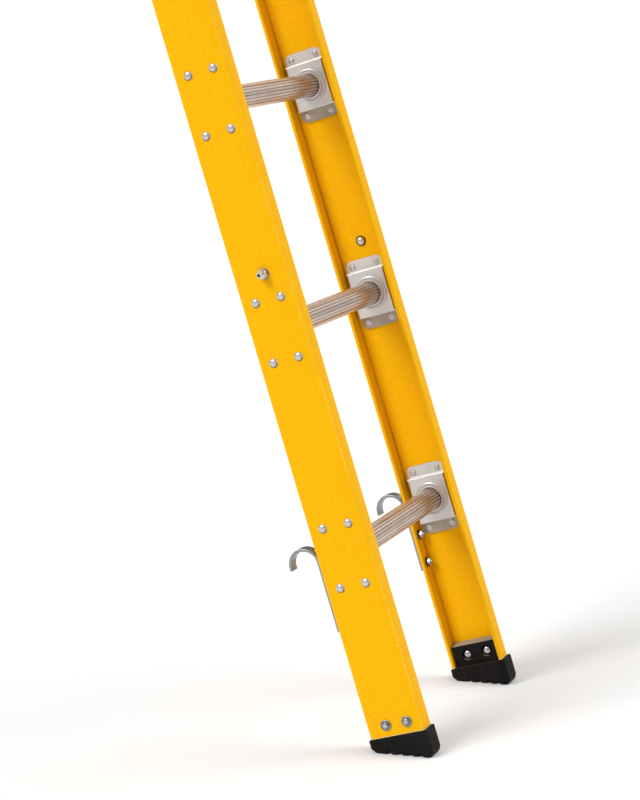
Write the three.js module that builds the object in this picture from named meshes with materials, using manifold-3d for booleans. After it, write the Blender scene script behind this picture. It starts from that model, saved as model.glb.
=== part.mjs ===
// Two-section push-up extension ladder, leaning at its working angle.
//
// Section frame: x across the ladder, y through its depth (+y is the wall side, -y the
// climber's side), z up along the rails. Rung k of a section is centred at y = 0, z = k * PITCH.
// Both sections are built in this frame; the fly section is then carried forward and up until
// its hooks hold a rung of the lower section, and the whole ladder is leaned against the wall.
// Pieces of a right-hand side are the mirror images of those of the left-hand side.

import * as THREE from 'three';
import { mergeVertices } from 'three/addons/utils/BufferGeometryUtils.js';
import Module from 'manifold-3d';

// ---------------------------------------------------------------- driving dimensions (mm)

const LEAN = THREE.MathUtils.degToRad(15);

// Clearance between touching pieces, and of a shank in its hole.
const GAP = 0.3;
const HOLE_GAP = 0.5;

// How far a cutting tool runs past what it cuts, and two joined forms into each other.
const OVERRUN = 5;
const OVERLAP = 0.2;

// Sides of the round forms.
const HOLE_SIDES = 8;
const SHANK_SIDES = 8;
const DISC_SIDES = 12;

const PITCH = 300;
const RUNG_COUNT = 7;

const LOWER_WIDTH = 350;
const FLY_WIDTH = 290;

const RAIL = {
  depth: 76,
  flange: 26,
  wall: 4.5,
  outerRadius: 3,
  innerRadius: 2,
  bottom: 60,
  top: 2230,
};

const RUNG = {
  radius: 16,
  fluteDepth: 0.8,
  flutes: 14,
  bore: 13.6,
  boreSides: 10,
  endClearance: 5.4,
  swage: 0.6,
};

const PLATE = {
  width: 56,
  height: 98,
  thickness: 2,
  standoff: 8.4,
  raisedHalf: 32,
  cornerRadius: 9,
  ringRadius: 23.5,
  ringShoulder: 3.6,
  ringHeight: 6,
  ringBevel: 3,
  holeRadius: 16.9,
  sides: 12,
};

const SOLE = {
  level: 33,
  outboard: 2,
  inboard: 27.4,
  front: -42,
  rear: 40,
  toeRun: 9,
  toeRise: 9,
  toeNose: 3,
  heelRun: 6,
  heelRise: 5,
  lands: 5,
  grooveWidth: 7,
  grooveSlope: 2,
  grooveFloor: 2.5,
  grooveDepth: 4.5,
};

const PAD = {
  top: 92,
  root: 12,
  halfDepth: 32,
  face: 20.8,
  cornerRadius: 2,
  recessRadius: 8,
  recessDepth: 3,
};

const WASHER_THICKNESS = 1.4;
const HEAD_TAPER = 0.7;

const FOOT_BOLT = {
  z: 75.4,
  centreY: -3.4,
  spacing: 29.5,
  shank: 3.2,
  headRadius: 6.6,
  headHeight: 3.2,
  washerRadius: 7.2,
  nutFlats: 10,
  nutHeight: 2.4,
  tail: 0.8,
};

const STOP_BOLT = {
  z: 673,
  y: -4.5,
  shank: 4,
  headRadius: 6.8,
  headHeight: 3.6,
  washerRadius: 7.6,
  nutFlats: 12,
  nutHeight: 6,
  tail: 9,
};

const HOOK = {
  width: 16,
  centreX: 14,
  thickness: 4,
  bottom: 204,
  arcZ: 298,
  innerRadius: 18,
  tip: 4,
  segments: 12,
  clearance: 0.5,
};

const HOOK_SCREW = {
  levels: [214, 254],
  shank: 3,
  headRadius: 5.4,
  headTop: 3.6,
  headHeight: 1.2,
  washerRadius: 6.5,
  washerThickness: 1.3,
  nutRadius: 5.2,
  nutEnd: 6,
  tail: 8,
};

const GUIDE = {
  bottom: 2150,
  height: 55,
  thickness: 3,
  rear: 26,
  legFace: 26,
  lip: 52,
  flyClearance: 1.5,
};

const GUIDE_BOLT = {
  spacing: 28,
  shank: 3.2,
  headRadius: 6.2,
  headHeight: 3,
  washerRadius: 7,
  nutFlats: 10,
  nutHeight: 5,
  tail: 1.6,
};

const CAP = {
  height: 8,
  proud: 2,
  cornerRadius: 3,
  plugDepth: 24,
  plugRise: 4,
  plugFace: 20,
};

const WALL_PAD = {
  height: 32,
  proud: 8,
  lowerBevel: 4,
  upperBevelRun: 6,
  upperBevelRise: 2,
  crown: 30,
  brow: 12,
};

// The fly's hooks hang on this rung of the lower section.
const HELD_RUNG = 5;
const FLY_LIFT = HELD_RUNG * PITCH + RUNG.radius - HOOK.innerRadius + HOOK.clearance - HOOK.arcZ;
const STRAP_Y = RAIL.depth / 2 + GAP;
const ARC_Y = STRAP_Y + HOOK.thickness + HOOK.innerRadius;
const FLY_FORWARD = -ARC_Y;

// ---------------------------------------------------------------- materials

function material(colour, roughness, metalness) {
  return new THREE.MeshStandardMaterial({ color: colour, roughness, metalness });
}

const frpYellow = material(0xf2a900, 0.55, 0);
const rungAluminium = material(0xb9b0a8, 0.38, 1);
const plateAluminium = material(0xc9cacb, 0.42, 1);
const zinc = material(0xb8bcbe, 0.35, 1);
const fastenerSteel = material(0x9fa3a6, 0.3, 1);
const blackRubber = material(0x17181a, 0.8, 0);
const blackPlastic = material(0x1d1e20, 0.55, 0);

// ---------------------------------------------------------------- solids: join and cut

const wasm = await Module();
wasm.setup();

function toSolid(geometry) {
  const bare = geometry.clone();
  bare.deleteAttribute('normal');
  bare.deleteAttribute('uv');
  const merged = mergeVertices(bare, 1e-3);
  const mesh = new wasm.Mesh({
    numProp: 3,
    vertProperties: new Float32Array(merged.attributes.position.array),
    triVerts: new Uint32Array(merged.index.array),
  });
  return new wasm.Manifold(mesh);
}

function toGeometry(solid) {
  const mesh = solid.getMesh();
  const geometry = new THREE.BufferGeometry();
  geometry.setAttribute('position', new THREE.BufferAttribute(new Float32Array(mesh.vertProperties), 3));
  geometry.setIndex(new THREE.BufferAttribute(new Uint32Array(mesh.triVerts), 1));
  geometry.computeVertexNormals();
  return geometry;
}

function join(...geometries) {
  const [first, ...rest] = geometries.map(toSolid);
  return toGeometry(rest.reduce((sum, solid) => sum.add(solid), first));
}

function cut(geometry, ...tools) {
  return toGeometry(tools.map(toSolid).reduce((left, tool) => left.subtract(tool), toSolid(geometry)));
}

function overlap(a, b) {
  return toGeometry(toSolid(a).intersect(toSolid(b)));
}

// ---------------------------------------------------------------- shape helpers

// The mirror image in x, with each triangle's corners reordered so that it still faces out.
function mirrored(geometry) {
  const copy = geometry.index ? geometry.toNonIndexed() : geometry.clone();
  const position = copy.attributes.position;
  for (let i = 0; i < position.count; i += 3) {
    const a = [position.getX(i), position.getY(i), position.getZ(i)];
    const b = [position.getX(i + 1), position.getY(i + 1), position.getZ(i + 1)];
    position.setXYZ(i, -b[0], b[1], b[2]);
    position.setXYZ(i + 1, -a[0], a[1], a[2]);
    position.setX(i + 2, -position.getX(i + 2));
  }
  copy.computeVertexNormals();
  return copy;
}

function polygon(points) {
  return new THREE.Shape(points.map(([u, v]) => new THREE.Vector2(u, v)));
}

// A shape in x, y carried up z.
function alongZ(shape, bottom, top, curveSegments = 3) {
  const solid = new THREE.ExtrudeGeometry(shape, { depth: top - bottom, bevelEnabled: false, curveSegments });
  solid.translate(0, 0, bottom);
  return solid;
}

// A shape in y, z carried along x.
function alongX(shape, from, to, curveSegments = 3) {
  const solid = new THREE.ExtrudeGeometry(shape, { depth: to - from, bevelEnabled: false, curveSegments });
  const turn = new THREE.Matrix4().set(0, 0, 1, from, 1, 0, 0, 0, 0, 1, 0, 0, 0, 0, 0, 1);
  return solid.applyMatrix4(turn);
}

// A shape in x, z carried along y.
function alongY(shape, from, to, curveSegments = 3) {
  const solid = new THREE.ExtrudeGeometry(shape, { depth: to - from, bevelEnabled: false, curveSegments });
  solid.rotateX(Math.PI / 2);
  solid.translate(0, to, 0);
  return solid;
}

function rodX(radius, from, to, y, z, sides = DISC_SIDES) {
  const rod = new THREE.CylinderGeometry(radius, radius, to - from, sides);
  rod.rotateZ(-Math.PI / 2);
  rod.translate((from + to) / 2, y, z);
  return rod;
}

function rodY(radius, from, to, x, z, sides = DISC_SIDES) {
  const rod = new THREE.CylinderGeometry(radius, radius, to - from, sides);
  rod.translate(x, (from + to) / 2, z);
  return rod;
}

// A closed profile of [radius, height] points turned about an axis that points along +x.
function turnedX(profile, y, z, sides = DISC_SIDES) {
  const points = profile.map(([r, h]) => new THREE.Vector2(r, h));
  const lathe = new THREE.LatheGeometry(points, sides);
  lathe.rotateZ(-Math.PI / 2);
  lathe.translate(0, y, z);
  return lathe;
}

function roundedRectangle(u0, v0, u1, v1, r) {
  const shape = new THREE.Shape();
  shape.moveTo(u0 + r, v0);
  shape.lineTo(u1 - r, v0);
  shape.absarc(u1 - r, v0 + r, r, -Math.PI / 2, 0, false);
  shape.lineTo(u1, v1 - r);
  shape.absarc(u1 - r, v1 - r, r, 0, Math.PI / 2, false);
  shape.lineTo(u0 + r, v1);
  shape.absarc(u0 + r, v1 - r, r, Math.PI / 2, Math.PI, false);
  shape.lineTo(u0, v0 + r);
  shape.absarc(u0 + r, v0 + r, r, Math.PI, Math.PI * 1.5, false);
  return shape;
}

// ---------------------------------------------------------------- left-hand pieces
// x = 0 is the outer face of the left rail's web and +x points inboard.

function railProfile() {
  const half = RAIL.depth / 2;
  const inner = half - RAIL.wall;
  const R = RAIL.outerRadius;
  const r = RAIL.innerRadius;
  const shape = new THREE.Shape();
  shape.moveTo(RAIL.flange, -half);
  shape.lineTo(RAIL.flange, -inner);
  shape.lineTo(RAIL.wall + r, -inner);
  shape.absarc(RAIL.wall + r, -inner + r, r, -Math.PI / 2, -Math.PI, true);
  shape.lineTo(RAIL.wall, inner - r);
  shape.absarc(RAIL.wall + r, inner - r, r, Math.PI, Math.PI / 2, true);
  shape.lineTo(RAIL.flange, inner);
  shape.lineTo(RAIL.flange, half);
  shape.lineTo(R, half);
  shape.absarc(R, half - R, R, Math.PI / 2, Math.PI, false);
  shape.lineTo(0, -half + R);
  shape.absarc(R, -half + R, R, Math.PI, Math.PI * 1.5, false);
  return shape;
}

function footBoltYs() {
  return [-1, 1].map((side) => FOOT_BOLT.centreY + side * FOOT_BOLT.spacing / 2);
}

function guideBoltYs() {
  return [-1, 1].map((side) => side * GUIDE_BOLT.spacing / 2);
}

function guideBoltZ() {
  return GUIDE.bottom + GUIDE.height / 2;
}

// A drill through the web, for a shank of the given radius.
function webDrill(shank, y, z) {
  return rodX(shank + HOLE_GAP, -OVERRUN, RAIL.wall + OVERRUN, y, z, HOLE_SIDES);
}

// A drill through the rear flange.
function flangeDrill(shank, z) {
  const rear = RAIL.depth / 2;
  return rodY(shank + HOLE_GAP, rear - RAIL.wall - OVERRUN, rear + OVERRUN, HOOK.centreX, z, HOLE_SIDES);
}

function rail(hasGuide) {
  const blank = alongZ(railProfile(), RAIL.bottom, RAIL.top, 2);
  const holes = footBoltYs().map((y) => webDrill(FOOT_BOLT.shank, y, FOOT_BOLT.z));
  holes.push(webDrill(STOP_BOLT.shank, STOP_BOLT.y, STOP_BOLT.z));
  holes.push(...HOOK_SCREW.levels.map((z) => flangeDrill(HOOK_SCREW.shank, z)));
  if (hasGuide) {
    holes.push(...guideBoltYs().map((y) => webDrill(GUIDE_BOLT.shank, y, guideBoltZ())));
  }
  return cut(blank, ...holes);
}

// Stamped plate: two flat tabs on the web and a raised middle with a rolled ring round the rung.
function rungPlate(holeRadius) {
  const tab = RAIL.wall + GAP;
  const face = tab + PLATE.standoff;
  const t = PLATE.thickness;
  const h = PLATE.height / 2;
  const m = PLATE.raisedHalf;
  const section = polygon([
    [tab, -h],
    [tab + t, -h],
    [tab + t, -m - t],
    [face, -m - t],
    [face, m + t],
    [tab + t, m + t],
    [tab + t, h],
    [tab, h],
    [tab, m],
    [face - t, m],
    [face - t, -m],
    [tab, -m],
  ]);
  const folded = alongY(section, -PLATE.width / 2, PLATE.width / 2);
  const outline = roundedRectangle(-PLATE.width / 2, -h, PLATE.width / 2, h, PLATE.cornerRadius);
  const trimmed = overlap(folded, alongX(outline, 0, face + OVERRUN, 1));
  const ringTop = face + PLATE.ringHeight;
  const ring = turnedX([
    [0, face - t + OVERLAP],
    [PLATE.ringRadius, face - t + OVERLAP],
    [PLATE.ringRadius, face + PLATE.ringShoulder],
    [PLATE.ringRadius - PLATE.ringBevel, ringTop],
    [0, ringTop],
  ], 0, 0, PLATE.sides);
  const bore = rodX(holeRadius, 0, ringTop + OVERRUN, 0, 0, PLATE.sides);
  return cut(join(trimmed, ring), bore);
}

function rungTube(width) {
  const shape = new THREE.Shape();
  const steps = RUNG.flutes * 2;
  for (let i = 0; i < steps; i += 1) {
    const angle = 2 * Math.PI * i / steps;
    const radius = RUNG.radius - (i % 2 ? RUNG.fluteDepth : 0);
    const u = radius * Math.cos(angle);
    const v = radius * Math.sin(angle);
    if (i === 0) {
      shape.moveTo(u, v);
    } else {
      shape.lineTo(u, v);
    }
  }
  shape.closePath();
  const bore = new THREE.Path();
  bore.absarc(0, 0, RUNG.bore, 0, 2 * Math.PI, true);
  shape.holes.push(bore);
  const half = width / 2 - RUNG.endClearance;
  return alongX(shape, -half, half, RUNG.boreSides / 2);
}

// The sole slopes with the ladder's lean, so its lands lie flat on level ground.
function soleProfile() {
  const slope = Math.tan(LEAN);
  const ground = (y) => SOLE.level + slope * y;
  const rearLand = SOLE.rear - SOLE.heelRun;
  const frontLand = SOLE.front + SOLE.toeRun;
  const step = (rearLand - frontLand) / SOLE.lands;
  const points = [
    [SOLE.front, RAIL.bottom - GAP],
    [SOLE.front, ground(SOLE.front) + SOLE.toeRise],
    [SOLE.front + SOLE.toeNose, ground(SOLE.front) + SOLE.toeNose],
    [frontLand, ground(frontLand)],
  ];
  for (let i = 0; i < SOLE.lands - 1; i += 1) {
    const end = frontLand + (i + 1) * step;
    const start = end - SOLE.grooveWidth;
    const floorStart = start + SOLE.grooveSlope;
    const floorEnd = floorStart + SOLE.grooveFloor;
    points.push([start, ground(start)]);
    points.push([floorStart, ground(floorStart) + SOLE.grooveDepth]);
    points.push([floorEnd, ground(floorEnd) + SOLE.grooveDepth]);
    points.push([end, ground(end)]);
  }
  points.push([rearLand, ground(rearLand)]);
  points.push([SOLE.rear, ground(SOLE.rear) + SOLE.heelRise]);
  points.push([SOLE.rear, RAIL.bottom - GAP]);
  return polygon(points);
}

function footBody() {
  const boot = alongX(soleProfile(), -SOLE.outboard, SOLE.inboard);
  const wall = RAIL.wall + GAP;
  const root = RAIL.bottom - PAD.root;
  const outline = roundedRectangle(-PAD.halfDepth, root, PAD.halfDepth, PAD.top, PAD.cornerRadius);
  return join(boot, alongX(outline, wall, PAD.face, 2));
}

function foot(radius) {
  const tools = [];
  for (const y of footBoltYs()) {
    tools.push(rodX(radius, -OVERRUN, PAD.face + OVERRUN, y, FOOT_BOLT.z, HOLE_SIDES));
    tools.push(rodX(PAD.recessRadius, PAD.face - PAD.recessDepth, PAD.face + OVERRUN, y, FOOT_BOLT.z));
  }
  return cut(footBody(), ...tools);
}

// Through bolt along x: domed head on the inboard side, washer and nut on the outboard side.
function boltX(bolt, y, z, headFrom, outerFace) {
  const washerTop = outerFace - WASHER_THICKNESS;
  const nutEnd = washerTop - bolt.nutHeight;
  const headEnd = headFrom + bolt.headHeight;
  const shaft = turnedX([
    [0, nutEnd - bolt.tail],
    [bolt.shank, nutEnd - bolt.tail],
    [bolt.shank, headFrom],
    [bolt.headRadius, headFrom],
    [bolt.headRadius * HEAD_TAPER, headEnd],
    [0, headEnd],
  ], y, z, SHANK_SIDES);
  const washer = rodX(bolt.washerRadius, washerTop, outerFace, y, z);
  const nut = rodX(bolt.nutFlats / Math.sqrt(3), nutEnd, washerTop + OVERLAP, y, z, 6);
  return join(shaft, washer, nut);
}

function footBolt(y) {
  return boltX(FOOT_BOLT, y, FOOT_BOLT.z, PAD.face - PAD.recessDepth + GAP, -GAP);
}

function stopBolt() {
  return boltX(STOP_BOLT, STOP_BOLT.y, STOP_BOLT.z, RAIL.wall + GAP, -GAP);
}

function guideBolt(y) {
  const strapFace = -GAP - GUIDE.thickness - GAP;
  return boltX(GUIDE_BOLT, y, guideBoltZ(), RAIL.wall + GAP, strapFace);
}

// Flat bar bent over into a hook that opens downwards.
function hookBar() {
  const shape = new THREE.Shape();
  const outer = HOOK.innerRadius + HOOK.thickness;
  const tip = HOOK.arcZ - HOOK.tip;
  shape.moveTo(STRAP_Y, HOOK.bottom);
  shape.lineTo(STRAP_Y + HOOK.thickness, HOOK.bottom);
  shape.lineTo(STRAP_Y + HOOK.thickness, HOOK.arcZ);
  shape.absarc(ARC_Y, HOOK.arcZ, HOOK.innerRadius, Math.PI, 0, true);
  shape.lineTo(ARC_Y + HOOK.innerRadius, tip);
  shape.lineTo(ARC_Y + outer, tip);
  shape.lineTo(ARC_Y + outer, HOOK.arcZ);
  shape.absarc(ARC_Y, HOOK.arcZ, outer, 0, Math.PI, false);
  shape.lineTo(STRAP_Y, HOOK.bottom);
  const from = HOOK.centreX - HOOK.width / 2;
  return alongX(shape, from, from + HOOK.width, HOOK.segments);
}

function hook(radius) {
  const from = STRAP_Y - OVERRUN;
  const to = STRAP_Y + HOOK.thickness + OVERRUN;
  const drills = HOOK_SCREW.levels.map((z) => rodY(radius, from, to, HOOK.centreX, z, HOLE_SIDES));
  return cut(hookBar(), ...drills);
}

// Screw along y: washer and hexagon nut inside the channel, and a head on the strap that is low
// enough to pass the other section's rungs.
function hookScrew(z) {
  const headFrom = STRAP_Y + HOOK.thickness + GAP;
  const inside = RAIL.depth / 2 - RAIL.wall - GAP;
  const washerFace = inside - HOOK_SCREW.washerThickness;
  const points = [
    [0, inside - HOOK_SCREW.tail],
    [HOOK_SCREW.shank, inside - HOOK_SCREW.tail],
    [HOOK_SCREW.shank, headFrom],
    [HOOK_SCREW.headRadius, headFrom],
    [HOOK_SCREW.headTop, headFrom + HOOK_SCREW.headHeight],
    [0, headFrom + HOOK_SCREW.headHeight],
  ].map(([r, h]) => new THREE.Vector2(r, h));
  const shaft = new THREE.LatheGeometry(points, SHANK_SIDES);
  shaft.translate(HOOK.centreX, 0, z);
  const washer = rodY(HOOK_SCREW.washerRadius, washerFace, inside, HOOK.centreX, z);
  const nutFrom = inside - HOOK_SCREW.nutEnd;
  const nut = rodY(HOOK_SCREW.nutRadius, nutFrom, washerFace + OVERLAP, HOOK.centreX, z, 6);
  return join(shaft, washer, nut);
}

// Bent strap that wraps the lower rail's front flange and the fly rail's front flange.
function guide() {
  const t = GUIDE.thickness;
  const out = -GAP - t;
  const front = -RAIL.depth / 2 - GAP;
  const flyFront = FLY_FORWARD - RAIL.depth / 2 - GUIDE.flyClearance;
  const leg = GUIDE.legFace;
  const section = polygon([
    [out, GUIDE.rear],
    [out, front - t],
    [leg - t, front - t],
    [leg - t, flyFront - t],
    [GUIDE.lip, flyFront - t],
    [GUIDE.lip, flyFront],
    [leg, flyFront],
    [leg, front],
    [-GAP, front],
    [-GAP, GUIDE.rear],
  ]);
  const strap = alongZ(section, GUIDE.bottom, GUIDE.bottom + GUIDE.height);
  const drills = guideBoltYs().map((y) => (
    rodX(GUIDE_BOLT.shank + HOLE_GAP, out - OVERRUN, OVERRUN, y, guideBoltZ(), HOLE_SIDES)
  ));
  return cut(strap, ...drills);
}

// The part of a cap that plugs the channel; it rises into the cap's own body.
function capPlug() {
  const low = RAIL.top - CAP.plugDepth;
  const high = RAIL.top + CAP.plugRise;
  const outline = roundedRectangle(-PAD.halfDepth, low, PAD.halfDepth, high, PAD.cornerRadius);
  return alongX(outline, RAIL.wall + GAP, CAP.plugFace, 2);
}

function lowerCap() {
  const half = RAIL.depth / 2 + CAP.proud;
  const low = RAIL.top + GAP;
  const lid = roundedRectangle(-half, low, half, low + CAP.height, CAP.cornerRadius);
  return join(alongX(lid, -CAP.proud, RAIL.flange, 2), capPlug());
}

// The fly's cap carries a flat pad that lies against an upright wall.
function flyCap() {
  const half = RAIL.depth / 2;
  const base = RAIL.top + GAP;
  const front = -half - CAP.proud;
  const rear = half + WALL_PAD.proud;
  const top = base + WALL_PAD.height;
  const faceLow = base + WALL_PAD.lowerBevel;
  const faceHigh = top - WALL_PAD.upperBevelRise;
  const faceTop = rear - (faceHigh - faceLow) * Math.tan(LEAN);
  const head = polygon([
    [front, base],
    [rear - WALL_PAD.lowerBevel, base],
    [rear, faceLow],
    [faceTop, faceHigh],
    [faceTop - WALL_PAD.upperBevelRun, top],
    [half - WALL_PAD.crown, top],
    [front, base + WALL_PAD.brow],
  ]);
  return join(alongX(head, -CAP.proud, RAIL.flange + CAP.proud), capPlug());
}

// ---------------------------------------------------------------- assembly

const ladder = new THREE.Group();
const lower = new THREE.Group();
const fly = new THREE.Group();
ladder.add(lower, fly);
fly.position.set(0, FLY_FORWARD, FLY_LIFT);

function add(group, name, geometry, look, position = [0, 0, 0]) {
  const mesh = new THREE.Mesh(geometry, look);
  mesh.name = name;
  mesh.position.set(...position);
  group.add(mesh);
}

// Adds a left-hand piece and its mirror image on the two rails of a section.
function addPair(group, prefix, suffix, width, geometry, look, z = 0) {
  const end = suffix ? `_${suffix}` : '';
  add(group, `${prefix}_L${end}`, geometry, look, [-width / 2, 0, z]);
  add(group, `${prefix}_R${end}`, mirrored(geometry), look, [width / 2, 0, z]);
}

// Lower section.
addPair(lower, 'lower_rail', '', LOWER_WIDTH, rail(true), frpYellow);
addPair(lower, 'lower_foot', '', LOWER_WIDTH, foot(FOOT_BOLT.shank + HOLE_GAP), blackRubber);
addPair(lower, 'lower_hook', '', LOWER_WIDTH, hook(HOOK_SCREW.shank + HOLE_GAP), zinc);
addPair(lower, 'lower_guide', '', LOWER_WIDTH, guide(), zinc);
addPair(lower, 'lower_cap', '', LOWER_WIDTH, lowerCap(), blackPlastic);
addPair(lower, 'lower_stop_bolt', '', LOWER_WIDTH, stopBolt(), fastenerSteel);

footBoltYs().forEach((y, i) => {
  addPair(lower, 'lower_foot_bolt', ['front', 'rear'][i], LOWER_WIDTH, footBolt(y), fastenerSteel);
});

HOOK_SCREW.levels.forEach((z, i) => {
  addPair(lower, 'lower_hook_screw', ['bottom', 'top'][i], LOWER_WIDTH, hookScrew(z), fastenerSteel);
});

guideBoltYs().forEach((y, i) => {
  addPair(lower, 'lower_guide_bolt', ['front', 'rear'][i], LOWER_WIDTH, guideBolt(y), fastenerSteel);
});

const lowerRung = rungTube(LOWER_WIDTH);
const lowerPlate = rungPlate(PLATE.holeRadius);

for (let k = 1; k <= RUNG_COUNT; k += 1) {
  add(lower, `lower_rung_${k}`, lowerRung, rungAluminium, [0, 0, k * PITCH]);
  addPair(lower, 'lower_plate', String(k), LOWER_WIDTH, lowerPlate, plateAluminium, k * PITCH);
}

// Fly section: each rung is swaged into its two plates, and the hooks and feet carry their fixings.
function flyRungUnit() {
  const plate = rungPlate(RUNG.bore + RUNG.swage);
  const left = plate.clone().translate(-FLY_WIDTH / 2, 0, 0);
  const right = mirrored(plate).translate(FLY_WIDTH / 2, 0, 0);
  return join(rungTube(FLY_WIDTH), left, right);
}

function flyFoot() {
  const bolts = footBoltYs().map((y) => footBolt(y));
  return join(foot(FOOT_BOLT.shank - OVERLAP), ...bolts);
}

function flyHook() {
  const screws = HOOK_SCREW.levels.map((z) => hookScrew(z));
  return join(hook(HOOK_SCREW.shank - OVERLAP), ...screws);
}

addPair(fly, 'fly_rail', '', FLY_WIDTH, rail(false), frpYellow);
addPair(fly, 'fly_foot', '', FLY_WIDTH, flyFoot(), blackRubber);
addPair(fly, 'fly_hook', '', FLY_WIDTH, flyHook(), zinc);
addPair(fly, 'fly_cap', '', FLY_WIDTH, flyCap(), blackPlastic);

const flyRung = flyRungUnit();

for (let k = 1; k <= RUNG_COUNT; k += 1) {
  add(fly, `fly_rung_${k}`, flyRung, rungAluminium, [0, 0, k * PITCH]);
}

// Lean the ladder and stand its soles on z = 0, with the origin under the middle of its depth.
ladder.rotation.x = -LEAN;
ladder.updateMatrixWorld(true);
const depth = new THREE.Box3().setFromObject(ladder, true);
ladder.position.set(0, -(depth.min.y + depth.max.y) / 2, -SOLE.level * Math.cos(LEAN));

export default ladder;
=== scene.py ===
"""Two-section push-up extension ladder: fibreglass rails, fluted rungs, stamped rung plates.

Every piece is made in its section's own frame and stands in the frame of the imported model.
Section frame: x across the ladder, y through its depth (+y is the wall side), z up the rails,
with rung k centred at y = 0, z = k * PITCH. A left-hand piece is made with x = 0 on the outer
face of its rail's web and +x inboard, and the right-hand one is its mirror image.
"""
import math

import bmesh
import bpy
from mathutils import Matrix, Vector


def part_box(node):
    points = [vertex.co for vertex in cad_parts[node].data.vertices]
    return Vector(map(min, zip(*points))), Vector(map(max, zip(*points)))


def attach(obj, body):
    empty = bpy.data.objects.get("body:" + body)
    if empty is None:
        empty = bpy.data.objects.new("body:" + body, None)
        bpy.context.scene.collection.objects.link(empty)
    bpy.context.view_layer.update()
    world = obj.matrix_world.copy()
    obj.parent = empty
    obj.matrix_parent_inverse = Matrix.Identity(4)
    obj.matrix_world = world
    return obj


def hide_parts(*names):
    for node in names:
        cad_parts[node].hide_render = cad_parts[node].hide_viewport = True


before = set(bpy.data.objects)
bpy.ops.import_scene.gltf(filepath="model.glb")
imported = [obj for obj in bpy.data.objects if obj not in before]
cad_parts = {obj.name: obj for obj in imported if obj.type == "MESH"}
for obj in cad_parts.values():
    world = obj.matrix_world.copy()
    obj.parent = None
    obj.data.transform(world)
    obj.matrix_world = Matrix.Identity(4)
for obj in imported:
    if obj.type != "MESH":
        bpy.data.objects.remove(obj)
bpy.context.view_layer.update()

MM = 0.001
TAU = 2 * math.pi

# Two pieces that touch keep this gap (mm).
GAP = 0.3

# ---------------------------------------------------------------- sizes (mm)

PITCH = 300
RUNG_COUNT = 7
SIDES = ("L", "R")

RAIL_HALF = 38
RAIL_FLANGE = 26
RAIL_WALL = 4.5
RAIL_CORNER = 3
RAIL_FILLET = 2.2
RAIL_BOTTOM = 60
RAIL_TOP = 2230
SAWN_BAND = 1.2
RAIL_INNER = RAIL_HALF - RAIL_WALL

RUNG_RADIUS = 16
RUNG_BORE = 13.6
RUNG_FLUTES = 22
RUNG_FLUTE_DEPTH = 1.3
RUNG_END = 5.4

TAB_BACK = 4.8
SHEET = 2
TAB_FACE = TAB_BACK + SHEET
PLATE_FACE = 13.2
PLATE_HALF_HEIGHT = 49
PLATE_TAB_HALF = 28
PLATE_FACE_HALF = 26.4
PLATE_RAISED_HALF = 33
PLATE_CORNER = 9.5
PLATE_BEND = 2.2
PLATE_FOOT = 0.8
PLATE_NOTCH = 0.2
PLATE_HOLE = 17.2
RING_RADIUS = 23.4
RING_BITE = 0.05

RIVET_Y = 18.15
RIVET_Z = 39.7
RIVET_HEAD = 6.2
RIVET_RIM_WIDTH = 2.1
RIVET_RIM_TOP = 0

SOLE_LEVEL = 33
SOLE_FRONT = -42
SOLE_REAR = 40
SOLE_OUTBOARD = -2
SOLE_INBOARD = 27.4
SOLE_TOE_RUN = 9
SOLE_TOE_RISE = 9
SOLE_TOE_NOSE = 3
SOLE_HEEL_RUN = 6
SOLE_HEEL_RISE = 5
SOLE_LANDS = 5
SOLE_GROOVE = 4.5
SOLE_GROOVE_WIDTH = 7
SOLE_GROOVE_SLOPE = 2
SOLE_GROOVE_FLOOR = 2.5
PAD_TOP = 92
PAD_HALF = 32
PAD_FACE = 20.8
PAD_SLOPE = 3
PAD_ROOT = 1
PAD_CORNER = 1.5
PAD_RECESS = 8
PAD_RECESS_DEPTH = 3

THREAD_PITCH = 1.25
THREAD_DEPTH = 0.6

FOOT_BOLT_Z = 75.4
FOOT_BOLT_Y = (-18.15, 11.35)
STOP_BOLT_Z = 673
STOP_BOLT_Y = -4.5
STOP_BOLT_TIP = -16.6

HOOK_X = 14
HOOK_WIDTH = 16
HOOK_THICKNESS = 4
HOOK_BOTTOM = 204
HOOK_ARC_Z = 298
HOOK_INNER = 18
HOOK_TIP = 4
HOOK_SCREW_Z = (214, 254)
STRAP_Y = RAIL_HALF + GAP
ARC_Y = STRAP_Y + HOOK_THICKNESS + HOOK_INNER

GUIDE_BOTTOM = 2150
GUIDE_HEIGHT = 55
GUIDE_THICKNESS = 3
GUIDE_REAR = 26
GUIDE_LEG = 26
GUIDE_LIP = 52
GUIDE_CLEARANCE = 1.5
GUIDE_BOLT_Y = (-14, 14)

CAP_HEIGHT = 8
CAP_PROUD = 2
CAP_PLUG_DEPTH = 24
CAP_PLUG_RISE = 4
CAP_PLUG_FACE = 20
WALL_PAD_HEIGHT = 32
WALL_PAD_PROUD = 8
WALL_PAD_LOWER_BEVEL = 4
WALL_PAD_UPPER_RUN = 6
WALL_PAD_UPPER_RISE = 2
WALL_PAD_CROWN = 30
WALL_PAD_BROW = 12


# ---------------------------------------------------------------- the two sections

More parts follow.
